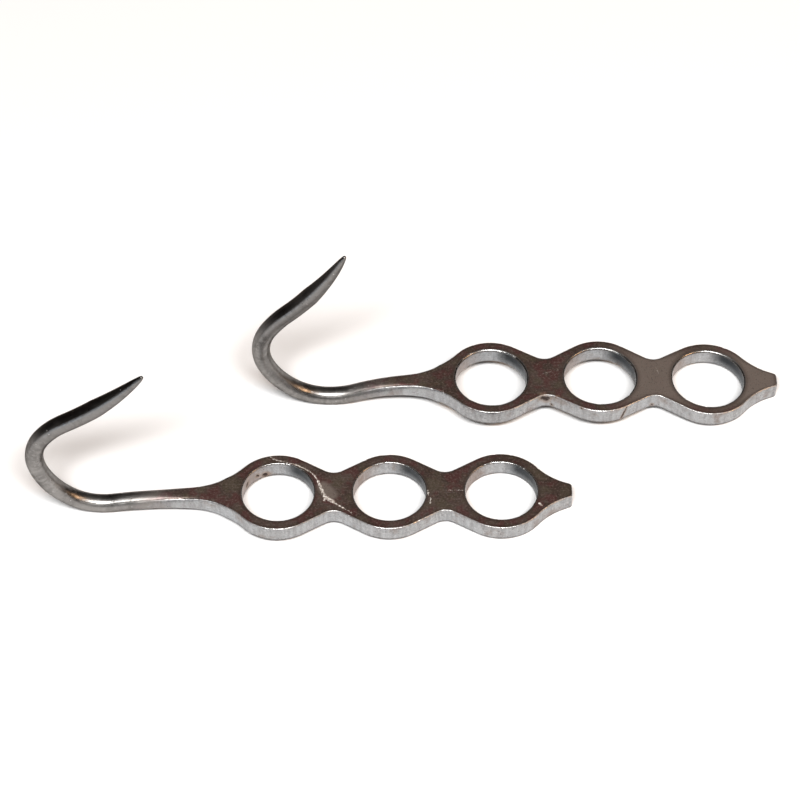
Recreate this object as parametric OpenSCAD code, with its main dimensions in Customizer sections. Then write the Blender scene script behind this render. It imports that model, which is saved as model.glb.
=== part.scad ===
// A pair of finger-ring hooks, one for each hand. Each hook is a single steel
// forging: three finger rings in a row, a shank, and a round rod that curls up
// into a pointed hook. The pair lies on a flat surface, each hook resting on the
// heel of its bend and on its tail.
// X runs along the hooks, tail to the right; Z is up from that surface.

/* [Finger rings] */
// Diameter of the bore that a finger goes through
ring_bore_d = 21.5; // [20:0.5:24]
// Outside diameter of each ring
ring_outer_d = 28; // [27:0.5:30]
// Distance from one ring's centre to the next
ring_pitch = 33; // [31:0.5:36]
// Thickness of the flat plate that the rings are part of
plate_t = 5.4; // [4.6:0.1:7]
// Width of the necks between the rings
neck_w = 14.6; // [12:0.2:18]
// Radius of the hollows between the rings
neck_fillet_r = 5; // [4:0.5:10]

/* [Ends of the plate] */
// Radius of the hollows that narrow the first ring to the shank
shank_fillet_r = 22; // [18:0.5:26]
// Width of the shank where the hollows end
shank_w = 5.4; // [5:0.1:6]
// Radius of the hollows that narrow the last ring to the tail
tail_fillet_r = 20.4; // [17:0.2:24]
// Distance from the last ring's centre to the blunt end of the tail
tail_len = 21; // [18:0.1:23]
// Width of the tail's blunt end
tail_w = 4.8; // [4:0.2:6]

/* [Rods] */
// Diameter of the rod that the hooks are bent from
rod_d = 5.4; // [4.4:0.1:6]
// Length of the ground point at the rod's end
point_len = 20; // [14:1:24]
// Fullness of the point: 1 is a straight cone, and less is a rounder point
point_power = 0.6; // [0.5:0.05:1]

/* [Front hook] */
// Where the front rod leaves the plate's plane, left of the middle ring
front_bend_x = 59; // [51:0.5:60]
// Radius of the slight dip before the front hook curls up
front_dip_r = 130; // [60:5:200]
// Angle of that dip, downwards
front_dip_turn = 10; // [4:0.5:14]
// Radii of the front hook's four upward bends: heel, belly, crown and arm
front_radii = [16, 25.5, 16, 24.5]; // [12:0.5:40]
// Angles of those four bends
front_turns = [51.5, 38.5, 46.5, 22]; // [10:0.5:60]
// Radius of the front arm's outward sweep to its point
front_flick_r = 100; // [60:1:200]
// Angle of that sweep
front_flick_turn = 18; // [10:0.5:24]

/* [Rear hook] */
// Where the rear rod leaves the plate's plane, left of the middle ring
rear_bend_x = 50; // [49:0.5:60]
// Radius of the dip before the rear hook curls up
rear_dip_r = 62; // [50:1:120]
// Angle of that dip, downwards
rear_dip_turn = 23; // [10:0.5:25]
// Radii of the rear hook's four upward bends: heel, belly, crown and arm
rear_radii = [19, 26.5, 17.5, 37]; // [12:0.5:40]
// Angles of those four bends
rear_turns = [62, 28, 53, 14]; // [10:0.5:64]
// Radius of the rear arm's outward sweep to its point
rear_flick_r = 83; // [60:1:200]
// Angle of that sweep
rear_flick_turn = 21; // [10:0.5:24]

/* [Layout of the pair] */
// How far the rear hook lies to the right of the front one
spread_x = 64; // [40:1:80]
// How far the rear hook lies behind the front one
spread_y = 41; // [36:1:60]
// Turn of the rear hook away from lying parallel to the front one
rear_yaw = 0.5; // [0:0.1:2]

/* [Hidden] */
steel = [0.42, 0.4, 0.38];
bore_clear = 1;       // a cutter reaches this far past each face
$fn = 96;

arc_step = 5;         // angle between the points of an arc in the outline
rod_sides = 20;       // flats around the rod
ring_gap = 2.2;       // spacing of the sections along the rod
shank_cut_x = 48;     // the plate hands over to the swept shank here
shank_overlap = 1;    // length of the shank that starts inside the plate
shank_inset = 0.97;   // the buried end is this much slimmer, so it stays inside
square_power = 10;    // superellipse power of the shank's squared section
round_len = 22;       // length over which the shank turns from square to round
tip_r = 0.3;          // radius that the very tip is worn down to

rings_x = [-ring_pitch, 0, ring_pitch];
ring_r = ring_outer_d / 2;
tail_x = ring_pitch + tail_len;

// Each bend is [radius, turn]; a positive turn curls the rod upwards
function bends(dip_r, dip_turn, radii, turns, flick_r, flick_turn) = concat(
    [[dip_r, -dip_turn]],
    [for (i = [0 : len(radii) - 1]) [radii[i], turns[i]]],
    [[flick_r, -flick_turn]]
);
front_bends = bends(front_dip_r, front_dip_turn, front_radii, front_turns, front_flick_r, front_flick_turn);
rear_bends = bends(rear_dip_r, rear_dip_turn, rear_radii, rear_turns, rear_flick_r, rear_flick_turn);

// A place on the rod is [x, z, heading, distance]; heading 0 runs towards -X, and 90 straight up
function go(from, radius, turn) = let (k = radius * sign(turn), h = from[2]) [
    from[0] + k * (sin(h) - sin(h + turn)),
    from[1] + k * (cos(h) - cos(h + turn)),
    h + turn,
    from[3] + arc_len([radius, turn])
];
function arc_len(bend) = bend[0] * abs(bend[1]) * PI / 180;
function ends(b, at, i = 0) = i == len(b) ? [at] : concat([at], ends(b, go(at, b[i][0], b[i][1]), i + 1));

// The last bend's sections draw closer together towards the tip
function along(j, n, last) = last ? 1 - pow(1 - j / n, 1.6) : j / n;
function route(b, bend_x) = let (
    start = [-shank_cut_x + shank_overlap, 0, 0, 0],
    straight = bend_x - shank_cut_x + shank_overlap,
    corner = ends(b, [-bend_x, 0, 0, straight]),
    lead = max(2, ceil(straight / ring_gap))
) concat(
    [for (j = [0 : lead - 1]) start + [-1, 0, 0, 1] * straight * j / lead],
    [
        for (i = [0 : len(b) - 1])
            let (n = ceil(arc_len(b[i]) / ring_gap), last = i == len(b) - 1)
                for (j = [0 : n - 1]) go(corner[i], b[i][0], b[i][1] * along(j, n, last))
    ],
    [corner[len(b)]]
);

function ramp(t) = let (u = min(1, max(0, t))) u * u * (3 - 2 * u);
function mix(a, b, t) = a + (b - a) * t;
function power_of(v, p) = sign(v) * pow(abs(v), p);

// Half-width of the shank while it follows the hollows, at a place x left of the middle ring
function hollow_w(x) = let (c = shank_hollow(), dx = max(0, x - c[0]))
    c[1] - sqrt(pow(shank_fillet_r, 2) - pow(min(dx, shank_fillet_r), 2));
// Centre of the shank's hollow, tangent to the first ring and to the shank's side
function shank_hollow() = let (h = shank_w / 2 + shank_fillet_r)
    [-ring_pitch - sqrt(pow(ring_r + shank_fillet_r, 2) - h * h), h];

// One section of the rod: half-width, half-thickness and superellipse power
function section(at, total) = let (
    d = at[3],
    to_round = ramp((d - shank_overlap) / round_len),
    inset = mix(shank_inset, 1, ramp(d / (3 * shank_overlap))),
    point = mix(2 * tip_r / rod_d, 1, pow(min(1, max(0, total - d) / point_len), point_power)),
    wide = mix(hollow_w(at[0]), rod_d / 2, to_round),
    high = mix(plate_t, rod_d, to_round) / 2
) [wide * inset * point, high * inset * point, 2 / mix(2 / square_power, 1, to_round)];

module rod(b, bend_x) {
    places = route(b, bend_x);
    count = len(places);
    total = places[count - 1][3];
    points = [
        for (at = places)
            let (s = section(at, total))
                for (k = [0 : rod_sides - 1])
                    let (a = 360 * (k + 0.5) / rod_sides, v = s[1] * power_of(sin(a), 2 / s[2]))
                        [at[0] + v * sin(at[2]), s[0] * power_of(cos(a), 2 / s[2]), at[1] + v * cos(at[2])]
    ];
    sides = [
        for (i = [0 : count - 2])
            for (k = [0 : rod_sides - 1])
                let (n = (k + 1) % rod_sides, a = i * rod_sides)
                    [a + k, a + n, a + n + rod_sides, a + k + rod_sides]
    ];
    first = [for (k = [rod_sides - 1 : -1 : 0]) k];
    last = [for (k = [0 : rod_sides - 1]) (count - 1) * rod_sides + k];
    polyhedron(points, concat([first], sides, [last]), convexity = 6);
}

// Part of a circle, without its last point, which the next arc starts from
function arc(c, r, a0, a1) = let (n = ceil(abs(a1 - a0) / arc_step))
    [for (i = [0 : n - 1]) let (a = mix(a0, a1, i / n)) [c[0] + r * cos(a), c[1] + r * sin(a)]];

// The same with its last point, from which a straight line goes on
function whole_arc(c, r, a0, a1) = concat(arc(c, r, a0, a1), [[c[0] + r * cos(a1), c[1] + r * sin(a1)]]);

// Centre of the hollow between two rings, and its radius, which is at most the one that touches both
function neck_hollow(x) = let (
    a = ring_pitch / 2,
    w = neck_w / 2,
    touching = (ring_r * ring_r - a * a - w * w) / (2 * (w - ring_r)),
    r = min(neck_fillet_r, touching)
) [x + a, w + r, r];

// Angle on a ring where a straight flank leaves it, tangent to the ring and to the hollow
function flank_angle() = let (h = neck_hollow(0), far = norm([h[0], h[1]]))
    atan2(h[1], h[0]) + acos(min(1, (ring_r + h[2]) / far));

// Centre of the tail's hollow, tangent to the last ring and ending at the blunt end's corner
function tail_hollow() = let (
    span = norm([tail_len, tail_w / 2]),
    far = ring_r + tail_fillet_r,
    a = (far * far - tail_fillet_r * tail_fillet_r + span * span) / (2 * span),
    turn = atan2(tail_w / 2, tail_len) + acos(a / far)
) [ring_pitch + far * cos(turn), far * sin(turn)];

function angle_to(from, to) = atan2(to[1] - from[1], to[0] - from[0]);

// Ring arc from an angle on, and the hollow that follows it
function ring_and_neck(i, from) = let (h = neck_hollow(rings_x[i]), turn = flank_angle())
    concat(
        whole_arc([rings_x[i], 0], ring_r, from, turn),
        whole_arc(h, h[2], turn - 180, -turn)
    );

// The upper edge of the plate, from the shank to the tail's corner
function upper_edge() = let (
    shank = shank_hollow(),
    tail = tail_hollow(),
    first = [rings_x[0], 0],
    last = [rings_x[2], 0],
    corner = [tail_x, tail_w / 2]
) concat(
    arc(shank, shank_fillet_r, -acos((-shank_cut_x - shank[0]) / shank_fillet_r), angle_to(shank, first)),
    ring_and_neck(0, angle_to(first, shank)),
    ring_and_neck(1, 180 - flank_angle()),
    arc(last, ring_r, 180 - flank_angle(), angle_to(last, tail)),
    arc(tail, tail_fillet_r, angle_to(tail, last), angle_to(tail, corner)),
    [corner]
);

module outline() {
    edge = upper_edge();
    back = [for (i = [len(edge) - 1 : -1 : 0]) [edge[i][0], -edge[i][1]]];
    polygon(concat(edge, back));
}

// One hook in its own frame: the middle ring's centre is the origin, on the plate's mid-plane
module hook(b, bend_x) {
    difference() {
        union() {
            translate([0, 0, -plate_t / 2]) linear_extrude(plate_t) outline();
            rod(b, bend_x);
        }
        for (x = rings_x)
            translate([x, 0, -plate_t / 2 - bore_clear])
                cylinder(d = ring_bore_d, h = plate_t + 2 * bore_clear);
    }
}

// Resting on the heel and the tail tips the plate by this angle, hook end up
function heel(b, bend_x) = let (r = route(b, bend_x), low = min([for (p = r) p[1]]))
    [for (p = r) if (p[1] == low) p][0];
function rest_tilt(b, bend_x) = let (p = heel(b, bend_x))
    atan2((rod_d - plate_t) / 2 - p[1], tail_x - p[0]);
function rest_z(tilt) = tail_x * sin(tilt) + plate_t / 2 * cos(tilt);

front_tilt = rest_tilt(front_bends, front_bend_x);
rear_tilt = rest_tilt(rear_bends, rear_bend_x);

// The origin is the centre of the pair's footprint
left_x = min([for (p = route(front_bends, front_bend_x)) p[0]]) - rod_d / 2;
centre_x = (left_x + spread_x + tail_x) / 2;
centre_y = spread_y / 2;

module front_hook() {
    color(steel)
        translate([-centre_x, -centre_y, rest_z(front_tilt)])
            rotate([0, front_tilt, 0])
                hook(front_bends, front_bend_x);
}

module rear_hook() {
    color(steel)
        translate([spread_x - centre_x, spread_y - centre_y, rest_z(rear_tilt)])
            rotate([0, rear_tilt, rear_yaw])
                hook(rear_bends, rear_bend_x);
}

front_hook();
rear_hook();
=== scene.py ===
"""Looks for the pair of finger-ring hooks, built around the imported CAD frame.

Each hook is one continuous skin: a plate with three rings, whose shank is lofted into a round rod. It is
laid out straight, roughened a little, bent along its rod's arcs and set down where its CAD node lies.
"""
import math
from types import SimpleNamespace

import bpy
import numpy as np
from mathutils import Matrix, Vector, noise


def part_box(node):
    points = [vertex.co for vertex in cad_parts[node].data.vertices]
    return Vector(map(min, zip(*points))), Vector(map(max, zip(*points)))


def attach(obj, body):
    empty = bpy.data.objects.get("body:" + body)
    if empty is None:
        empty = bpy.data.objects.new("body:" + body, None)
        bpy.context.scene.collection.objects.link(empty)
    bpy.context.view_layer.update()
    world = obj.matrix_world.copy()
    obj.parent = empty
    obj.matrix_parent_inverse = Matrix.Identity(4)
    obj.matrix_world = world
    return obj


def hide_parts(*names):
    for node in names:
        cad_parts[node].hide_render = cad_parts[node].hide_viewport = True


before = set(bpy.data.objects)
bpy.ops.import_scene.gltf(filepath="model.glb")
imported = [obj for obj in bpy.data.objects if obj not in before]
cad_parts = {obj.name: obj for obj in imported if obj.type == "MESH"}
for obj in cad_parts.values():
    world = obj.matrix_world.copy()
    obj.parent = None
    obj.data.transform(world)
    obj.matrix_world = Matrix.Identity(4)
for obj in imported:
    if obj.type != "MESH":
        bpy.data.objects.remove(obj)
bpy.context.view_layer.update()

MM = 0.001

# ---------------------------------------------------------------- sizes, in millimetres
RING_R = 14.0          # outer radius of the finger rings
PITCH = 33.0           # from one ring to the next
RINGS = ((-PITCH, 0.0), (0.0, 0.0), (PITCH, 0.0))
HALF_T = 2.7           # half the plate's thickness
NECK_HALF_W = 7.3
NECK_R = 5.0           # hollows between the rings
SHANK_HOLLOW_R = 22.0
SHANK_HALF_W = 2.7
SHANK_CUT_X = -48.0    # the plate hands over to the swept shank here
TAIL_HOLLOW_R = 20.4
TAIL_X = PITCH + 21.0
TAIL_HALF_W = 2.4
TAIL_CORNER_R = 1.3
EDGE_R = 0.35          # rounding of the plate's worn outer edges
ROD_R = 2.7
SQUARE_POWER = 10.0    # superellipse power of the shank's squared section
ROUND_LEN = 22.0       # length over which the squared shank turns into the round rod
POINT_LEN = 20.0
POINT_POWER = 0.6      # below 1, the point's sides swell outwards
TIP_R = 0.3            # radius that the very tip is worn down to

# ---------------------------------------------------------------- spacing of the skin's points
STEP = 0.45            # along the outline and the rod
ROUND_ROWS = 4         # rows across a rounded edge
WALL_ROWS = 8          # rows across the plate's side
FACE_ROWS = 7          # rows from a bore to the plate's edge
NECK_COLS = 26         # columns across a neck
SHANK_COLS = 22        # columns across the plate where the shank starts
END_ROWS = 5           # points across half of the tail's blunt end
SEAM_LEN = 3.0         # length over which the skin leaves the plate's exact section
TIP_ROWS = 1.3         # how many more rings the point has than the same length of rod,
TIP_CLOSE = 1.6        # and the power that draws them together at the tip
PATH_STEP = 0.1        # spacing of the search for the lowest place of the bend

# ---------------------------------------------------------------- wear, in millimetres
WAVE = 0.05            # height of the slow waves that forging has left,
WAVE_LONG = 9.0        # their length along the hook,
WAVE_SHORT = 5.0       # and across it
RIPPLE = 0.012         # height of the finer ripples,
RIPPLE_TIMES = 6       # which are this many times shorter
NICK = 0.5             # depth of the random nicks along the edges, for noise of 1
NICK_SCALE = 0.9       # noise lengths of the nicks in a millimetre
NICK_FLOOR = 0.35      # noise below this leaves no nick
DENT = 0.35            # depth of a placed dent, in half-widths of it
RIM = 1.3              # width of the darker rim along the edges of the faces
FADE_START = 12.0      # from here on the shank, the plate's dark faces and bright sides
FADE_LEN = 22.0        # fade into the rod's steel, over this length
ARM_X = -124.0         # both rods have finished their bend here; beyond it the arm gets painted shade, darkest on its back
ARM_BLUR = 7.0         # half the length over which it darkens
BACK_SIDE = (0.62, -0.79)            # (across, up): direction of the straightened arm's back, where the painted shade is darkest
SHADED_SIDE = np.array([0.97, 0.25])  # the bores' walls get painted shade towards this side, and painted warm light away from it
BORE_SHADE_MEAN = 0.55                         # the mean weight of that painted shade,
BORE_SHADE_SWING = 0.42                   # and how much more of it towards that side
# Weights that the skin carries for its material: rounded edge, side, rod, bore's side weight for its painted
# shade and warm light, face's rim
PAINT = ("edge", "wall", "rod", "bore", "rim")

# Marks are placed in paint coordinates: millimetres on the straightened hook, with its z raised by this
FRONT = 0.0
REAR = 100.0
# Each rod leaves the plate's line at bend_x and follows its arcs: (radius, turn), up is positive.
# bow: slight bends that use has left in the plate, each a (height, place, half-length).
# bores: their radii; lip: the rounding of their edges; seed: moves the noise; yaw: in degrees.
HOOKS = {
    "front_hook": {
        "bend_x": 59.0, "yaw": 0.0, "seed": 3.0, "shift": FRONT, "bow": (),
        "bores": (10.65, 10.75, 10.65), "lip": 0.4,
        "arcs": [(130, -10), (16, 51.5), (25.5, 38.5), (16, 46.5), (24.5, 22), (100, -18)],
    },
    "rear_hook": {
        "bend_x": 50.0, "yaw": 0.5, "seed": 11.0, "shift": REAR, "bow": ((1.1, 2, 22), (-0.9, -54, 9)),
        "bores": (10.75, 10.85, 10.85), "lip": 0.65,
        "arcs": [(62, -23), (19, 62), (26.5, 28), (17.5, 53), (37, 14), (83, -21)],
    },
}


# ---------------------------------------------------------------- marks
def on_top(shift, *places):
    """Places (x, y) on the top face of one hook, in paint coordinates."""
    return [(x, y, shift + HALF_T) for x, y in places]


# Bright scrapes: (places, half-width)
SCRAPES = [
    (on_top(FRONT, (-35.4, 13.25), (-34.65, 12.45), (-32.95, 11.8), (-30.3, 11.0), (-28.1, 10.3)), 0.16),
    (on_top(FRONT, (-28.1, 10.3), (-25.1, 8.65), (-23.2, 7.1), (-22.1, 5.8), (-21.2, 3.9)), 0.19),
    (on_top(FRONT, (-21.2, 3.9), (-20.2, 1.3), (-19.6, -0.9)), 0.34),
    (on_top(FRONT, (-19.6, -0.9), (-18.9, -2.1), (-16.8, -3.7)), 0.55),
    (on_top(FRONT, (-19.3, -1.8), (-19.2, -3.3)), 0.28),
    (on_top(FRONT, (-16.8, -3.7), (-15.4, -5.0), (-13.5, -6.3)), 0.24),
    (on_top(FRONT, (-13.0, -6.7), (-11.1, -8.1)), 0.10),
    (on_top(FRONT, (11.4, 0.3), (11.5, -1.6)), 0.16),
    (on_top(FRONT, (12.1, -2.6), (12.0, -4.6)), 0.16),
    (on_top(FRONT, (16.6, 0.2), (21.7, 0.1)), 0.07),
    (on_top(FRONT, (44.2, -4.9), (44.7, -5.7)), 0.28),
    (on_top(FRONT, (41.0, 6.6), (41.5, 6.2)), 0.22),
    (on_top(REAR, (17.3, 3.9), (18.1, 0.9)), 0.07),
    (on_top(REAR, (-12.2, 2.6), (-17.6, 1.1)), 0.06),
]
# Rusty dents and nicks, most of them on the sides, in the same way
RUST = [
    ([(-17.6, -7.5, REAR + 1.5), (-16.5, -7.5, REAR + 0.5)], 0.75),
    ([(-16.4, -7.5, REAR + 1.4), (-15.8, -7.5, REAR + 1.2)], 0.45),
    ([(-15.0, -7.6, REAR - 1.4), (-14.8, -7.6, REAR - 1.6)], 0.30),
    ([(-13.7, -7.9, REAR + 2.4), (-12.7, -7.8, REAR + 2.2)], 0.22),
    ([(-11.7, -8.3, REAR + 2.0), (-11.4, -8.4, REAR + 1.8)], 0.28),
    ([(-6.4, -12.4, REAR + 2.3), (-6.1, -12.5, REAR + 2.2)], 0.25),
    ([(7.4, -12.0, REAR + 2.1), (6.0, -12.6, REAR - 1.8)], 0.30),
    ([(11.2, -8.6, REAR - 2.2), (11.4, -8.5, REAR - 2.2)], 0.35),
    ([(15.5, -7.5, REAR - 1.4), (15.7, -7.5, REAR - 1.6)], 0.33),
    ([(-37.2, 9.8, -1.4), (-36.9, 9.9, -1.6)], 0.70),
    ([(-39.4, 8.6, -0.4), (-39.2, 8.8, -0.7)], 0.45),
    ([(-42.2, 5.4, -0.2), (-42.3, 5.1, -0.8)], 0.45),
]
# Broad, soft places on the faces that are painted lighter and greyer: the front hook's is a painted sheen
# beside its scrape, the rear hook's lightens its plate from the middle ring to the tail
GREYER = [
    (on_top(FRONT, (-19.6, 1.8), (-17.2, -1.2)), 1.9),
    (on_top(REAR, (6.0, 0.0), (50.0, 0.0)), 11.0),
]

# ---------------------------------------------------------------- colours, linear
FACE_DARK = (0.064, 0.043, 0.036)
FACE_BROWN = (0.100, 0.074, 0.064)
FACE_RUSSET = (0.112, 0.064, 0.048)
FACE_RED = (0.105, 0.040, 0.040)
FACE_OLIVE = (0.100, 0.084, 0.058)
# lighter grey for those places: a painted sheen on the front hook, a plain lighter tone on the rear
FACE_LIGHTER_GREY = (0.225, 0.190, 0.168)
FACE_GRAIN = (0.185, 0.140, 0.120)
FACE_PORES = (0.030, 0.021, 0.018)
FACE_RIM = (0.040, 0.026, 0.021)
HAIRLINE = (0.26, 0.22, 0.20)
WALL_DULL = (0.285, 0.289, 0.295)
WALL_BRIGHT = (0.40, 0.416, 0.43)
WALL_GRAIN = (0.60, 0.60, 0.605)
WALL_PORES = (0.11, 0.105, 0.10)
WALL_BROWN = (0.22, 0.165, 0.135)
# painted warm light and painted shade for the two sides of the bores' walls
BORE_PAINTED_WARM_LIGHT = (0.23, 0.155, 0.12)
BORE_PAINTED_SHADE = (0.020, 0.024, 0.028)
ROD_DARK = (0.19, 0.185, 0.18)
ROD_GREY = (0.295, 0.288, 0.28)
ROD_PALE = (0.36, 0.352, 0.344)
ROD_GLANCE = (0.35, 0.34, 0.33)    # its reflection at glancing angles
# painted shade on the arm, darker still on its back
ARM_PAINTED_SHADE = (0.13, 0.126, 0.123)
ARM_BACK_PAINTED_SHADE = (0.040, 0.035, 0.033)
# painted shade at the foot of the plate's sides
PAINTED_UNDERSIDE_SHADE = (0.05, 0.042, 0.038)
RUBBED = (0.50, 0.495, 0.49)
LIP = (0.26, 0.255, 0.25)
SCRAPED = (0.34, 0.30, 0.265)
FLECK = (0.85, 0.83, 0.80)
DOT = (0.60, 0.59, 0.58)
PIT = (0.07, 0.045, 0.035)
STAIN = (0.20, 0.13, 0.085)
RUSTED = (0.020, 0.009, 0.006)
WHITE = (1.0, 1.0, 1.0)
FLOOR = (0.86, 0.865, 0.875)
ROOM = (0.034, 0.028, 0.025)

# ---------------------------------------------------------------- the studio's sizes, in metres
# The photo's camera, as fitted to its six bores: seen from AIM, with angles in degrees
AIM = Vector((-0.0026, 0.0198, 0.0))
CAMERA = {"azimuth": 0.66, "elevation": 50.04, "distance": 0.9358, "roll": -1.45, "lens": 137.86}
SENSOR = 36.0          # width in millimetres, as the lens is
# Lamps: name, (azimuth, elevation, distance), (width, height), power in watts, colour
LAMPS = (
    ("key", (1, 58, 2.4), (1.5, 0.34), 84.0, (1.0, 0.99, 0.975)),
    ("front_panel", (0, 30, 1.4), (0.9, 0.5), 1.5, (1.0, 0.98, 0.96)),
    ("warm_side", (68, 36, 1.5), (0.5, 0.4), 6.0, (1.0, 0.60, 0.33)),
    ("cool_side", (-40, 4, 1.2), (0.30, 0.06), 0.6, (0.72, 0.86, 1.0)),
)
FLOOR_HALF = 6.0       # wide enough to fill the low views too


# ---------------------------------------------------------------- the rod's path
def arc_len(radius, turn):
    return radius * math.radians(abs(turn))


def place_on_path(hook, distance):
    """Where the rod's middle runs, a distance from bend_x: (x, z, heading). Heading 0 runs towards -X."""
    x, z, heading = -hook["bend_x"], 0.0, 0.0
    for radius, turn in hook["arcs"]:
        length = arc_len(radius, turn)
        part = min(1.0, distance / length)
        k = math.copysign(radius, turn)
        after = heading + math.radians(turn) * part
        x += k * (math.sin(heading) - math.sin(after))
        z += k * (math.cos(heading) - math.cos(after))
        heading = after
        distance -= length
        if distance <= 0:
            break
    return x, z, heading


def rod_end(hook):
    """How far left the straightened rod reaches."""
    return hook["bend_x"] + sum(arc_len(*arc) for arc in hook["arcs"])


# ---------------------------------------------------------------- the plate's outline
def arc_run(centre, radius, a0, a1, side):
    """Points of an arc and their outward normals; side is 1 on a ring and -1 in a hollow."""
    n = max(2, round(radius * abs(a1 - a0) / STEP))
    a = np.linspace(a0, a1, n + 1)[:-1]
    out = np.stack([np.cos(a), np.sin(a)], 1)
    return np.asarray(centre) + radius * out, side * out


def flank_run(start, stop, angle):
    """Points of a straight flank between two arcs, and its normals, which point at an angle."""
    n = max(2, round(math.dist(start, stop) / STEP))
    t = np.linspace(0, 1, n + 1)[:-1, None]
    points = np.asarray(start) * (1 - t) + np.asarray(stop) * t
    return points, np.tile([math.cos(angle), math.sin(angle)], (n, 1))


def on_circle(centre, radius, angle):
    return centre[0] + radius * math.cos(angle), centre[1] + radius * math.sin(angle)


def toward(a, b):
    return math.atan2(b[1] - a[1], b[0] - a[0])


def shank_hollow():
    """Centre of the hollow that narrows the first ring to the shank."""
    rise = SHANK_HALF_W + SHANK_HOLLOW_R
    return -PITCH - math.sqrt((RING_R + SHANK_HOLLOW_R) ** 2 - rise**2), rise


def shank_half_w(x):
    x0, y0 = shank_hollow()
    return y0 - math.sqrt(SHANK_HOLLOW_R**2 - max(0.0, x - x0) ** 2)


def tail_hollow():
    """Centre of the hollow that touches the last ring and ends at the blunt end's corner."""
    reach = TAIL_X - PITCH
    span = math.hypot(reach, TAIL_HALF_W)
    far = RING_R + TAIL_HOLLOW_R
    a = (far**2 - TAIL_HOLLOW_R**2 + span**2) / (2 * span)
    turn = math.atan2(TAIL_HALF_W, reach) + math.acos(a / far)
    return PITCH + far * math.cos(turn), far * math.sin(turn)


def upper_outline():
    """The plate's far edge from the shank to the tail's middle, its normals, and the columns at the necks."""
    half = PITCH / 2
    neck_y = NECK_HALF_W + NECK_R
    necks = [(-half, neck_y), (half, neck_y)]
    # a straight flank, tangent to both, joins each ring to the hollow of its neck
    leave = math.atan2(neck_y, half) + math.acos((RING_R + NECK_R) / math.hypot(half, neck_y))
    shank = shank_hollow()
    tail = tail_hollow()
    corner_x = TAIL_X - TAIL_CORNER_R
    corner_y = tail[1] - math.sqrt((TAIL_HOLLOW_R + TAIL_CORNER_R) ** 2 - (corner_x - tail[0]) ** 2)
    corner = (corner_x, corner_y)

    down = -math.pi / 2
    start = -math.acos((SHANK_CUT_X - shank[0]) / SHANK_HOLLOW_R)
    runs = [arc_run(shank, SHANK_HOLLOW_R, start, toward(shank, RINGS[0]), -1)]
    ring_start = toward(RINGS[0], shank)
    columns = []
    for ring, neck, after in zip(RINGS, necks, RINGS[1:]):
        runs.append(arc_run(ring, RING_R, ring_start, leave, 1))
        into = on_circle(neck, NECK_R, leave - math.pi)
        runs.append(flank_run(on_circle(ring, RING_R, leave), into, leave))
        runs.append(arc_run(neck, NECK_R, leave - math.pi, down, -1))
        columns.append(sum(len(points) for points, _ in runs))
        runs.append(arc_run(neck, NECK_R, down, -leave, -1))
        ring_start = math.pi - leave
        out_of = on_circle(neck, NECK_R, -leave)
        runs.append(flank_run(out_of, on_circle(after, RING_R, ring_start), ring_start))
    runs.append(arc_run(RINGS[2], RING_R, ring_start, toward(RINGS[2], tail), 1))
    runs.append(arc_run(tail, TAIL_HOLLOW_R, toward(tail, RINGS[2]), toward(tail, corner), -1))
    runs.append(arc_run(corner, TAIL_CORNER_R, toward(corner, tail), 0.0, 1))
    end = np.stack([np.full(END_ROWS, TAIL_X), np.linspace(corner_y, 0.0, END_ROWS)], 1)
    runs.append((end, np.tile([1.0, 0.0], (END_ROWS, 1))))
    points, normals = (np.concatenate(part) for part in zip(*runs))
    return points, normals, columns


def edge_profile(radius):
    """(inset, height) down one side of the plate, from its top face to its underside."""
    turns = np.linspace(0, math.pi / 2, ROUND_ROWS + 1)
    top = [(radius * (1 - math.sin(t)), HALF_T - radius * (1 - math.cos(t))) for t in turns]
    flat = HALF_T - radius
    wall = [(0.0, z) for z in np.linspace(flat, -flat, WALL_ROWS + 1)[1:-1]]
    bottom = [(inset, -z) for inset, z in reversed(top)]
    return np.array(top + wall + bottom)


# ---------------------------------------------------------------- the straight skin
class Skin:
    """Points, faces and paint weights of one hook, laid out straight."""

    def __init__(self):
        self.points = []
        self.paint = []
        self.faces = []

    def add(self, x, y, z, **paint):
        self.points.append((x, y, z))
        self.paint.append([paint.get(label, 0.0) for label in PAINT])
        return len(self.points) - 1

    def join(self, a, b, closed=False):
        """Quads between two rows of equal length."""
        n = len(a)
        for i in range(n if closed else n - 1):
            j = (i + 1) % n
            self.faces.append((a[i], b[i], b[j], a[j]))


def add_strip(skin, points, normals, profile, bores):
    """Columns of points down the plate's side, one for each point of an edge."""
    last = len(profile) - 1
    columns = []
    for p, n, bore in zip(points, normals, bores):
        column = []
        for row, (inset, z) in enumerate(profile):
            from_face = min(row, last - row)
            edge = max(0.0, 1.0 - abs(from_face - ROUND_ROWS / 2) / (ROUND_ROWS / 2 + 1))
            wall = min(1.0, from_face / ROUND_ROWS)
            x, y = p - n * inset
            column.append(skin.add(x, y, z, edge=edge, wall=wall, bore=bore, rim=1.0 - wall))
        columns.append(column)
    return columns


def add_bore(skin, out, centre, radius, lip):
    """The wall of a bore, with a column for each direction out of its centre."""
    # weight of the painted shade on this side of the bore; where it is low, painted warm light instead
    painted_shade = BORE_SHADE_MEAN + BORE_SHADE_SWING * out @ SHADED_SIDE
    columns = add_strip(skin, out * radius + centre, -out, edge_profile(lip), painted_shade)
    for k, column in enumerate(columns):
        skin.join(columns[(k + 1) % len(columns)], column)
    return columns


def across(skin, x, half_w, count, z):
    """Points strictly between +half_w and -half_w on the plate's face."""
    places = np.linspace(half_w, -half_w, count + 1)[1:-1]
    return [skin.add(x, y, z, rim=max(0.0, 1 - (half_w - abs(y)) / RIM)) for y in places]


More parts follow.
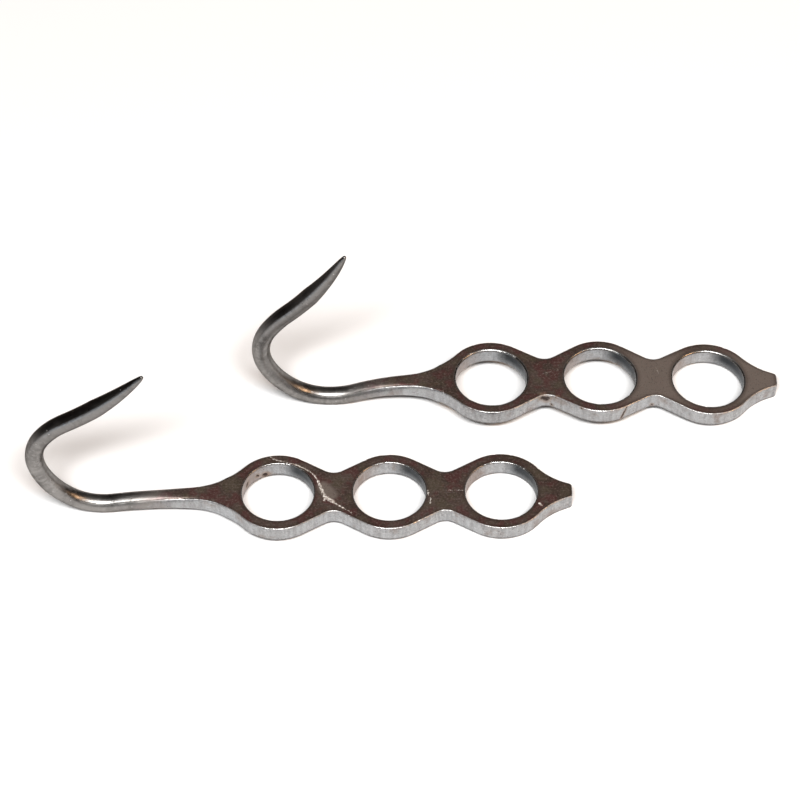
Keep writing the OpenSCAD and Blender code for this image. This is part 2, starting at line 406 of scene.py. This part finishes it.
def add_patch(skin, loop, inner, centre, outside, inside, z):
    """Rows of a flat face from an outer loop to a bore's lip, whose places are outside and inside."""
    breadth = np.linalg.norm(outside - inside, axis=1)
    own_rim = np.array([skin.paint[v][PAINT.index("rim")] for v in loop])
    previous = loop
    for m in range(1, FACE_ROWS):
        t = 1 - m / FACE_ROWS
        places = inside * (1 - t) + outside * t
        outer = own_rim * np.maximum(0.0, 1 - breadth * (1 - t) / RIM)
        rims = np.maximum(outer, 1 - breadth * t / RIM).clip(0.0, 1.0)
        row = [skin.add(x + centre[0], y, z, rim=r) for (x, y), r in zip(places, rims)]
        skin.join(previous, row, closed=True)
        previous = row
    skin.join(previous, inner, closed=True)


def add_faces(skin, hook, side, necks, shank_half):
    """Both flat faces and the bores between them. Each face is three polar patches around its bores, which
    meet at the middle of each neck. Returns the seams of the two faces with the shank."""
    lip = hook["lip"]
    neck_half = NECK_HALF_W - EDGE_R
    m1, m2 = necks
    w1, w2 = (len(side) - 1 - m for m in necks)
    bores = []
    shank_seams = []
    for row, z in ((0, HALF_T), (-1, -HALF_T)):
        seams = [across(skin, x, neck_half, NECK_COLS, z) for x in (-PITCH / 2, PITCH / 2)]
        shank_seam = across(skin, SHANK_CUT_X, shank_half, SHANK_COLS, z)
        edge = [column[row] for column in side]
        loops = [
            edge[: m1 + 1] + seams[0] + edge[w1:] + shank_seam[::-1],
            edge[m1 : m2 + 1] + seams[1] + edge[w2 : w1 + 1] + seams[0][::-1],
            edge[m2 : w2 + 1] + seams[1][::-1],
        ]
        for i, (loop, centre, radius) in enumerate(zip(loops, RINGS, hook["bores"])):
            outside = np.array([skin.points[v][:2] for v in loop]) - centre
            out = outside / np.linalg.norm(outside, axis=1)[:, None]
            if row == 0:
                bores.append(add_bore(skin, out, centre, radius, lip))
            inner = [column[row] for column in bores[i]]
            add_patch(skin, loop, inner, centre, outside, out * (radius + lip), z)
        shank_seams.append(shank_seam)
    return shank_seams


def ease(t):
    u = min(1.0, max(0.0, t))
    return u * u * (3 - 2 * u)


def power_of(v, p):
    """A power that keeps the sign."""
    return np.sign(v) * np.abs(v) ** p


def point_scale(to_tip):
    """How slim the rod is, a distance from its very tip: a full point with a worn, rounded end."""
    worn = TIP_R / ROD_R
    slim = worn + (1 - worn) * min(1.0, to_tip / POINT_LEN) ** POINT_POWER
    if to_tip < TIP_R:
        slim *= math.sqrt(1 - (1 - to_tip / TIP_R) ** 2)
    return slim


def rod_stations(length):
    """Distances of the shank's and rod's rings from the seam with the plate, the tip's last."""
    taper = length - POINT_LEN
    even = np.linspace(0, taper, round(taper / STEP) + 1)[1:]
    close = 1 - np.linspace(1, 0, round(POINT_LEN / STEP * TIP_ROWS) + 1)[1:] ** TIP_CLOSE
    return np.concatenate([even, taper + POINT_LEN * close])


def add_rod(skin, section, half_w, length):
    """Lofts the shank's section, a loop of points, into the round rod, and draws that out to its point."""
    seam = np.array([skin.points[v] for v in section])
    paint = np.array([skin.paint[v] for v in section])
    unit = seam[:, 1:] / [half_w, HALF_T]
    square_angle = np.arctan2(power_of(unit[:, 1], SQUARE_POWER / 2), power_of(unit[:, 0], SQUARE_POWER / 2))
    even_angle = np.arctan2(unit[:, 1], unit[:, 0])
    previous = section
    for s in rod_stations(length)[:-1]:
        x = SHANK_CUT_X - s
        t = ease(s / ROUND_LEN)
        power = 2 / (2 / SQUARE_POWER * (1 - t) + t)
        angle = square_angle * (1 - t) + even_angle * t
        half = np.array([shank_half_w(x), HALF_T]) * (1 - t) + ROD_R * t
        curve = np.stack([power_of(np.cos(angle), 2 / power), power_of(np.sin(angle), 2 / power)], 1)
        leaving = 1 - ease(s / SEAM_LEN)
        shape = (unit * leaving + curve * (1 - leaving)) * half * point_scale(length - s)
        steel = ease((s - FADE_START) / FADE_LEN)
        faded = paint * (1 - steel)
        lag = (seam[:, 0] - SHANK_CUT_X) * leaving
        row = [
            skin.add(x + d, y, z, edge=edge, wall=wall, rod=steel, rim=rim)
            for d, (y, z), (edge, wall, _, _, rim) in zip(lag, shape, faded)
        ]
        skin.join(previous, row, closed=True)
        previous = row
    tip = skin.add(SHANK_CUT_X - length, 0.0, 0.0, rod=1.0)
    for i, v in enumerate(previous):
        skin.faces.append((previous[(i + 1) % len(previous)], v, tip))


def build_straight(hook):
    """The whole skin: the plate's side, its faces and bores, then the shank and the rod."""
    skin = Skin()
    points, normals, necks = upper_outline()
    flip = np.array([1.0, -1.0])
    points = np.concatenate([points, points[-2::-1] * flip])
    normals = np.concatenate([normals, normals[-2::-1] * flip])
    side = add_strip(skin, points, normals, edge_profile(EDGE_R), np.zeros(len(points)))
    for column, after in zip(side, side[1:]):
        skin.join(column, after)
    half_w = points[0][1]
    # this is wider than the face, so that the seam's outermost points come close to the plate's edge
    seam_half = half_w + normals[0][1] * EDGE_R
    top_seam, bottom_seam = add_faces(skin, hook, side, necks, seam_half)
    section = [side[0][0]] + top_seam + side[-1] + bottom_seam[::-1] + side[0][:0:-1]
    add_rod(skin, section, half_w, rod_end(hook) + SHANK_CUT_X)
    return skin


# ---------------------------------------------------------------- bend, set down, finish
def bend(hook, points):
    """Straight points to bent ones: what lies left of bend_x follows the rod's path."""
    out = points.copy()
    for height, x0, half_len in hook["bow"]:
        out[:, 2] += height * np.exp(-(((points[:, 0] - x0) / half_len) ** 2))
    for i in np.nonzero(points[:, 0] < -hook["bend_x"])[0]:
        x, z, heading = place_on_path(hook, -points[i, 0] - hook["bend_x"])
        out[i, 0] = x + out[i, 2] * math.sin(heading)
        out[i, 2] = z + out[i, 2] * math.cos(heading)
    return out


def rest_tilt(hook):
    """The angle at which the hook rests on the heel of its bend and on its tail."""
    reach = rod_end(hook) - hook["bend_x"]
    low = min((place_on_path(hook, d) for d in np.arange(0, reach, PATH_STEP)), key=lambda p: p[1])
    return math.atan2(ROD_R - HALF_T - low[1], TAIL_X - low[0])


def set_down(name, hook, points):
    """Millimetres to metres, in the place of the hook's CAD node."""
    turn = Matrix.Rotation(math.radians(hook["yaw"]), 3, "Z") @ Matrix.Rotation(rest_tilt(hook), 3, "Y")
    placed = points @ np.array(turn).T * MM
    low, high = (np.array(corner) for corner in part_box(name))
    own_low, own_high = placed.min(0), placed.max(0)
    shift = (low + high - own_low - own_high) / 2
    shift[2] = low[2] - own_low[2]
    return placed + shift


def mesh_from(name, points, faces):
    mesh = bpy.data.meshes.new(name)
    mesh.from_pydata([tuple(p) for p in points], [], faces)
    mesh.validate()
    mesh.polygons.foreach_set("use_smooth", [True] * len(mesh.polygons))
    mesh.update()
    return mesh


def vertex_normals(points, faces):
    mesh = mesh_from("straight", points, faces)
    normals = np.empty(len(points) * 3)
    mesh.vertex_normals.foreach_get("vector", normals)
    bpy.data.meshes.remove(mesh)
    return normals.reshape(-1, 3)


def roughen(hook, points, faces, edge):
    """Slow waves from forging, random nicks along the worn edges, and a dent under each rust mark."""
    normals = vertex_normals(points, faces)
    seed = hook["seed"]
    out = points.copy()
    for i, p in enumerate(points):
        q = Vector((p[0] / WAVE_LONG + seed, p[1] / WAVE_SHORT, p[2] / WAVE_SHORT))
        slow = noise.noise(q) * WAVE
        fine = noise.noise(q * RIPPLE_TIMES) * RIPPLE
        chip = Vector((p[0] * NICK_SCALE, p[1] * NICK_SCALE, seed + p[2] * NICK_SCALE))
        nick = max(0.0, noise.noise(chip) - NICK_FLOOR) * edge[i]
        out[i] += normals[i] * (slow + fine - nick * NICK)
    painted = points + [0, 0, hook["shift"]]
    for places, width in RUST:
        a, b = (np.array(place) for place in places)
        along = ((painted - a) @ (b - a) / ((b - a) @ (b - a))).clip(0.0, 1.0)
        far = np.linalg.norm(painted - a - along[:, None] * (b - a), axis=1)
        out -= normals * (DENT * width * np.exp(-((far / width) ** 2)))[:, None]
    return out


def make_hook(name, hook):
    skin = build_straight(hook)
    straight = np.array(skin.points)
    paint = np.array(skin.paint)
    rough = roughen(hook, straight, skin.faces, paint[:, PAINT.index("edge")])
    placed = set_down(name, hook, bend(hook, rough))
    mesh = mesh_from(name + "_skin", placed, skin.faces)
    for label, values in zip(PAINT, paint.T):
        mesh.attributes.new(label, "FLOAT", "POINT").data.foreach_set("value", values)
    flat = mesh.attributes.new("flat_pos", "FLOAT_VECTOR", "POINT")
    flat.data.foreach_set("vector", (straight + [0, 0, hook["shift"]]).ravel())
    piece = bpy.data.objects.new(name + "_skin", mesh)
    bpy.context.scene.collection.objects.link(piece)
    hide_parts(name)
    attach(piece, name)
    return piece


# ---------------------------------------------------------------- material
class Nodes:
    """Short calls for building a node tree. A value is a node's output, a number, a vector or a colour."""

    def __init__(self, tree):
        self.tree = tree
        tree.nodes.clear()

    def node(self, kind, **settings):
        made = self.tree.nodes.new(kind)
        for key, value in settings.items():
            setattr(made, key, value)
        return made

    def set(self, socket, value):
        if isinstance(value, bpy.types.NodeSocket):
            self.tree.links.new(value, socket)
        else:
            socket.default_value = value

    def attribute(self, name, output="Fac"):
        return self.node("ShaderNodeAttribute", attribute_name=name).outputs[output]

    def math(self, operation, a, b, clamp=False):
        made = self.node("ShaderNodeMath", operation=operation, use_clamp=clamp)
        self.set(made.inputs[0], a)
        self.set(made.inputs[1], b)
        return made.outputs[0]

    def times(self, a, b):
        return self.math("MULTIPLY", a, b)

    def plus(self, a, b):
        return self.math("ADD", a, b)

    def minus(self, a, b):
        return self.math("SUBTRACT", a, b)

    def highest(self, values):
        whole = values[0]
        for value in values[1:]:
            whole = self.math("MAXIMUM", whole, value)
        return whole

    def ramp(self, value, low, high, out_low=0.0, out_high=1.0):
        """A smooth step: out_low below low, out_high above high."""
        made = self.node("ShaderNodeMapRange", interpolation_type="SMOOTHSTEP")
        for socket, v in zip(made.inputs[:5], (value, low, high, out_low, out_high)):
            self.set(socket, v)
        return made.outputs[0]

    def mix(self, factor, a, b):
        made = self.node("ShaderNodeMix", data_type="RGBA")
        for place, value in ((0, factor), (6, a), (7, b)):
            self.set(made.inputs[place], (*value, 1) if isinstance(value, tuple) else value)
        return made.outputs[2]

    def layers(self, base, *over):
        """A colour with others laid over it in turn, each a (factor, colour)."""
        for factor, color in over:
            base = self.mix(factor, base, color)
        return base

    def stretch(self, vector, scale, turn=0.0):
        made = self.node("ShaderNodeMapping")
        self.set(made.inputs["Vector"], vector)
        made.inputs["Scale"].default_value = scale
        made.inputs["Rotation"].default_value[2] = math.radians(turn)
        return made.outputs[0]

    def vector(self, operation, a, b, output=0):
        made = self.node("ShaderNodeVectorMath", operation=operation)
        self.set(made.inputs[0], a)
        self.set(made.inputs["Scale" if operation == "SCALE" else 1], b)
        return made.outputs[output]

    def nearest(self, at, strokes):
        """Distance to the nearest stroke, in half-widths of that stroke."""
        whole = None
        for places, width in strokes:
            for a, b in zip(places, places[1:]):
                step = Vector(b) - Vector(a)
                from_a = self.vector("SUBTRACT", at, a)
                along = self.vector("DOT_PRODUCT", from_a, tuple(step / step.length_squared), "Value")
                foot = self.vector("SCALE", tuple(step), self.math("ADD", along, 0.0, clamp=True))
                far = self.math("DIVIDE", self.vector("DISTANCE", from_a, foot, "Value"), width)
                whole = far if whole is None else self.math("MINIMUM", whole, far)
        return whole

    def noise(self, vector, scale, detail=4.0, roughness=0.55, output="Fac"):
        made = self.node("ShaderNodeTexNoise")
        self.set(made.inputs["Vector"], vector)
        made.inputs["Scale"].default_value = scale
        made.inputs["Detail"].default_value = detail
        made.inputs["Roughness"].default_value = roughness
        return made.outputs[output]

    def cells(self, vector, scale):
        made = self.node("ShaderNodeTexVoronoi")
        self.set(made.inputs["Vector"], vector)
        made.inputs["Scale"].default_value = scale
        return made.outputs["Distance"]

    def bump(self, height, strength, distance):
        made = self.node("ShaderNodeBump")
        self.set(made.inputs["Height"], height)
        made.inputs["Strength"].default_value = strength
        made.inputs["Distance"].default_value = distance
        return made.outputs[0]


def paint_masks(n):
    """The skin's paint weights, and masks made from them and from the place on the straightened hook."""
    paint = {label: n.attribute(label) for label in PAINT}
    look = SimpleNamespace(at=n.attribute("flat_pos", "Vector"), **paint)
    split = n.node("ShaderNodeSeparateXYZ")
    n.set(split.inputs[0], look.at)
    along, aside, raised = split.outputs
    # the height above the plate's middle, the same for both hooks
    wrapped = n.math("FLOORED_MODULO", n.plus(raised, REAR / 2), REAR)
    look.height = n.minus(wrapped, REAR / 2)
    look.lip = n.times(n.ramp(look.bore, 0.0, 0.1), n.ramp(look.edge, 0.2, 0.8))
    look.arm = n.ramp(along, ARM_X - ARM_BLUR, ARM_X + ARM_BLUR, 1.0, 0.0)
    # the arm's back, which gets the darkest painted shade
    to_back = n.plus(n.times(aside, BACK_SIDE[0]), n.times(look.height, BACK_SIDE[1]))
    look.back = n.times(n.ramp(to_back, -0.5, 0.7), look.arm)
    return look


def add_textures(n, look):
    """Textures that cover the whole hook, in millimetres."""
    at = look.at
    look.blotch = n.noise(at, 0.13, 5.0, 0.6)
    # moved aside, so that the tint doesn't follow the blotches
    elsewhere = n.vector("ADD", at, (7.0, 3.0, 0.0))
    look.tint = n.noise(elsewhere, 0.24, 3.0, 0.5)
    look.patch = n.noise(n.stretch(at, (1.0, 1.0, 0.6)), 0.75, 4.0, 0.62)
    look.streak = n.noise(n.stretch(at, (1.0, 1.0, 0.12)), 0.85, 4.0, 0.6)
    look.grain = n.noise(at, 1.5, 6.0, 0.75)
    look.brushed = n.noise(n.stretch(at, (0.2, 5.0, 5.0)), 1.2, 5.0, 0.65)
    hair = n.noise(n.stretch(at, (0.12, 6.0, 1.0), 24.0), 1.0, 2.0)
    hair_across = n.noise(n.stretch(at, (0.10, 7.0, 1.0), -61.0), 1.0, 2.0)
    look.hairs = n.highest([n.ramp(hair, 0.66, 0.72), n.ramp(hair_across, 0.68, 0.74)])
    in_groups = n.ramp(n.noise(at, 0.35, 2.0), 0.50, 0.60)
    look.pits = n.times(n.ramp(n.cells(at, 0.85), 0.10, 0.17, 1.0, 0.0), in_groups)
    look.dots = n.times(n.ramp(n.cells(at, 0.42), 0.05, 0.10, 1.0, 0.0), look.rod)


def add_marks(n, look):
    """The single marks, with ragged outlines, and the broad places that are greyer."""
    shake = n.vector("SCALE", n.noise(look.at, 1.7, 2.0, 0.5, "Color"), 0.9)
    ragged = n.vector("ADD", look.at, n.vector("SUBTRACT", shake, (0.45, 0.45, 0.45)))
    broken = n.ramp(n.noise(look.at, 1.9, 3.0), 0.33, 0.55)
    look.scraped = n.times(n.ramp(n.nearest(ragged, SCRAPES), 0.5, 1.4, 1.0, 0.0), broken)
    look.flecks = n.times(look.scraped, n.ramp(n.noise(look.at, 3.4, 2.0), 0.50, 0.58))
    rust_near = n.nearest(ragged, RUST)
    look.rust = n.ramp(rust_near, 0.5, 1.4, 1.0, 0.0)
    look.stain = n.ramp(rust_near, 1.1, 3.0, 1.0, 0.0)
    look.greyer = n.ramp(n.nearest(look.at, GREYER), 0.5, 1.4, 1.0, 0.0)
    rubbed = n.times(n.ramp(look.edge, 0.35, 0.95), n.ramp(look.grain, 0.35, 0.60))
    look.rubbed = n.times(rubbed, n.ramp(look.height, -2.4, -1.0))


def face_color(n, look):
    return n.layers(
        n.mix(n.ramp(look.blotch, 0.35, 0.65), FACE_DARK, FACE_BROWN),
        (n.ramp(look.patch, 0.50, 0.70, 0.0, 0.7), FACE_RUSSET),
        (n.ramp(look.tint, 0.50, 0.60, 0.0, 0.7), FACE_RED),
        (n.ramp(look.tint, 0.36, 0.48, 0.6, 0.0), FACE_OLIVE),
        (n.times(look.greyer, 0.9), FACE_LIGHTER_GREY),
        (n.ramp(look.grain, 0.50, 0.66), FACE_GRAIN),
        (n.ramp(look.grain, 0.34, 0.48, 0.55, 0.0), FACE_PORES),
        (n.times(n.ramp(look.rim, 0.1, 1.0), 0.45), FACE_RIM),
        (n.times(look.hairs, 0.35), HAIRLINE),
    )


def wall_color(n, look):
    """The outer sides and the bores' walls, which carry painted warm light on one side and painted shade on
    the other.
    """
    # painted warm light where the side weight is low; painted shade where it is high, strongest near the top
    painted_warm_light = n.times(n.ramp(look.bore, 0.02, 0.12), n.ramp(look.bore, 0.25, 0.6, 0.6, 0.0))
    painted_shade = n.times(n.ramp(look.bore, 0.66, 0.86), n.ramp(look.height, -2.2, 0.6, 0.5, 0.96))
    return n.layers(
        n.mix(n.ramp(look.streak, 0.30, 0.70), WALL_DULL, WALL_BRIGHT),
        (n.ramp(look.grain, 0.48, 0.68, 0.0, 0.6), WALL_GRAIN),
        (n.ramp(look.grain, 0.32, 0.46, 0.5, 0.0), WALL_PORES),
        (n.ramp(look.blotch, 0.52, 0.66, 0.0, 0.5), WALL_BROWN),
        (painted_warm_light, BORE_PAINTED_WARM_LIGHT),
        (painted_shade, BORE_PAINTED_SHADE),
    )


def rod_color(n, look):
    return n.layers(
        n.mix(n.ramp(look.blotch, 0.35, 0.65), ROD_DARK, ROD_GREY),
        (n.ramp(look.patch, 0.42, 0.66, 0.0, 0.6), ROD_PALE),
        # painted shade: the arm darker as a whole, its back darker still
        (n.times(look.arm, 0.4), ARM_PAINTED_SHADE),
        (n.times(look.back, 0.85), ARM_BACK_PAINTED_SHADE),
    )


def steel_color(n, look):
    plate = n.mix(look.wall, face_color(n, look), wall_color(n, look))
    # painted shade along the bottom of the plate's sides and its underside
    low = n.times(n.ramp(look.height, -HALF_T, -1.6, 0.85, 0.0), n.minus(1.0, look.rod))
    return n.layers(
        n.mix(look.rod, plate, rod_color(n, look)),
        (low, PAINTED_UNDERSIDE_SHADE),
        (look.rubbed, RUBBED),
        (n.times(look.lip, 0.7), LIP),
        (n.times(look.scraped, 0.95), SCRAPED),
        (look.flecks, FLECK),
        (n.times(look.dots, 0.8), DOT),
        (n.times(look.pits, 0.65), PIT),
        (n.times(look.stain, 0.6), STAIN),
        (look.rust, RUSTED),
    )


def steel_metallic(n, look):
    bare = n.highest([look.wall, look.rod, look.rubbed, look.lip])
    dull = n.highest([look.scraped, look.rust, n.times(look.stain, 0.5)])
    return n.math("SUBTRACT", n.ramp(bare, 0.0, 1.0, 0.5, 1.0), dull, clamp=True)


def steel_roughness(n, look):
    rough = n.plus(n.ramp(look.blotch, 0.3, 0.7, 0.32, 0.42), n.times(look.wall, 0.06))
    rough = n.minus(rough, n.times(look.rod, 0.04))
    rough = n.plus(rough, n.ramp(look.brushed, 0.3, 0.7, -0.04, 0.05))
    rough = n.minus(rough, n.times(n.highest([look.rubbed, look.lip]), 0.12))
    return n.plus(rough, n.times(n.highest([look.pits, look.rust, look.scraped]), 0.3))


def steel_bump(n, look):
    """The strokes stay out of this, because bump would work every one of them out three times."""
    coarse = n.times(look.grain, n.ramp(look.wall, 0.0, 1.0, 0.4, 1.0))
    height = n.plus(n.times(look.brushed, 0.4), coarse)
    height = n.plus(height, n.times(look.streak, n.ramp(look.wall, 0.0, 1.0, 0.05, 0.7)))
    height = n.minus(height, n.times(n.highest([look.pits, look.dots]), 1.6))
    height = n.minus(height, n.times(look.hairs, 0.5))
    return n.bump(height, 0.5, 0.07 * MM)


def forged_steel():
    """Worn bare steel: dark and smooth on the faces, bright where it is rubbed, coarser on the sawn sides."""
    material = bpy.data.materials.new("forged_steel")
    material.use_nodes = True
    n = Nodes(material.node_tree)
    look = paint_masks(n)
    add_textures(n, look)
    add_marks(n, look)
    shader = n.node("ShaderNodeBsdfPrincipled")
    n.set(shader.inputs["Base Color"], steel_color(n, look))
    n.set(shader.inputs["Metallic"], steel_metallic(n, look))
    n.set(shader.inputs["Roughness"], steel_roughness(n, look))
    n.set(shader.inputs["Normal"], steel_bump(n, look))
    n.set(shader.inputs["Specular Tint"], n.mix(look.rod, WHITE, ROD_GLANCE))
    out = n.node("ShaderNodeOutputMaterial")
    n.set(out.inputs[0], shader.outputs[0])
    return material


# ---------------------------------------------------------------- the studio
def make_floor():
    mesh = bpy.data.meshes.new("floor")
    signs = [(-1, -1), (1, -1), (1, 1), (-1, 1)]
    mesh.from_pydata([(x * FLOOR_HALF, y * FLOOR_HALF, 0) for x, y in signs], [], [(0, 1, 2, 3)])
    floor = bpy.data.objects.new("floor", mesh)
    bpy.context.scene.collection.objects.link(floor)
    material = bpy.data.materials.new("pale_floor")
    material.use_nodes = True
    shader = material.node_tree.nodes["Principled BSDF"]
    shader.inputs["Base Color"].default_value = (*FLOOR, 1)
    shader.inputs["Roughness"].default_value = 0.9
    mesh.materials.append(material)


def around(azimuth, elevation, distance):
    """A place seen from AIM at an azimuth and elevation; azimuth 0 is on the -Y side."""
    a, e = math.radians(azimuth), math.radians(elevation)
    away = Vector((math.sin(a) * math.cos(e), -math.cos(a) * math.cos(e), math.sin(e)))
    return AIM + away * distance


def toward_aim(place):
    return (AIM - place).to_track_quat("-Z", "Y")


def make_lamp(name, place, size, power, color):
    light = bpy.data.lights.new(name, "AREA")
    light.shape = "RECTANGLE"
    light.size, light.size_y = size
    light.energy = power
    light.color = color
    lamp = bpy.data.objects.new(name, light)
    lamp.location = place
    lamp.rotation_euler = toward_aim(place).to_euler()
    bpy.context.scene.collection.objects.link(lamp)


def make_camera(azimuth, elevation, distance, roll, lens):
    place = around(azimuth, elevation, distance)
    data = bpy.data.cameras.new("camera")
    data.sensor_width = SENSOR
    data.lens = lens
    camera = bpy.data.objects.new("camera", data)
    look = toward_aim(place).to_matrix().to_4x4()
    camera.matrix_world = Matrix.Translation(place) @ look @ Matrix.Rotation(math.radians(roll), 4, "Z")
    bpy.context.scene.collection.objects.link(camera)
    bpy.context.scene.camera = camera


def make_world():
    world = bpy.data.worlds.new("room")
    world.use_nodes = True
    world.node_tree.nodes["Background"].inputs["Color"].default_value = (*ROOM, 1)
    bpy.context.scene.world = world


make_camera(**CAMERA)
make_world()
make_floor()
for lamp_name, polar, lamp_size, watts, lamp_color in LAMPS:
    make_lamp(lamp_name, around(*polar), lamp_size, watts, lamp_color)

steel = forged_steel()
for node_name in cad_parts:
    make_hook(node_name, HOOKS[node_name]).data.materials.append(steel)

bpy.context.scene.view_settings.view_transform = "Standard"
